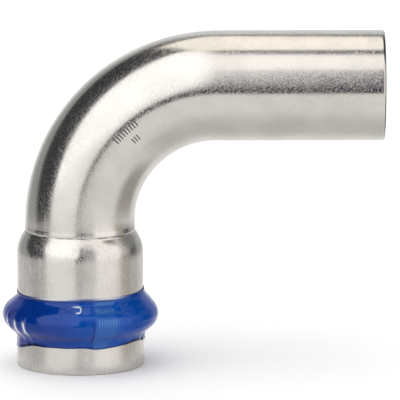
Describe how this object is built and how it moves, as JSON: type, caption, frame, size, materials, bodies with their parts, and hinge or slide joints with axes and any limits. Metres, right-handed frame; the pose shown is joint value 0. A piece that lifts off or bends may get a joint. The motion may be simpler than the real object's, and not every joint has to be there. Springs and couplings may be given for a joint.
{
  "type": "press-fit pipe elbow",
  "caption": "Ninety-degree press-fit pipe elbow with a plain spigot, a beaded press socket, its inner rubber seal ring and a shrunk press-indicator film.",
  "frame": {"origin": "middle of the socket's mouth, on the socket's axis, in the plane of the socket's rim", "axes": "the socket opens towards -Z, the spigot points along +X, and the bend lies in the XZ plane"},
  "size_m": [0.0764, 0.0312, 0.0673],
  "materials": {
    "stainless_steel": "satin, pickled and lightly brushed",
    "seal_rubber": "matt black",
    "blue_film": "glossy transparent blue shrink film"
  },
  "bodies": {
    "root": {"elbow_body": "stainless_steel", "seal_ring": "seal_rubber", "indicator_film": "blue_film"}
  },
  "joints": []
}
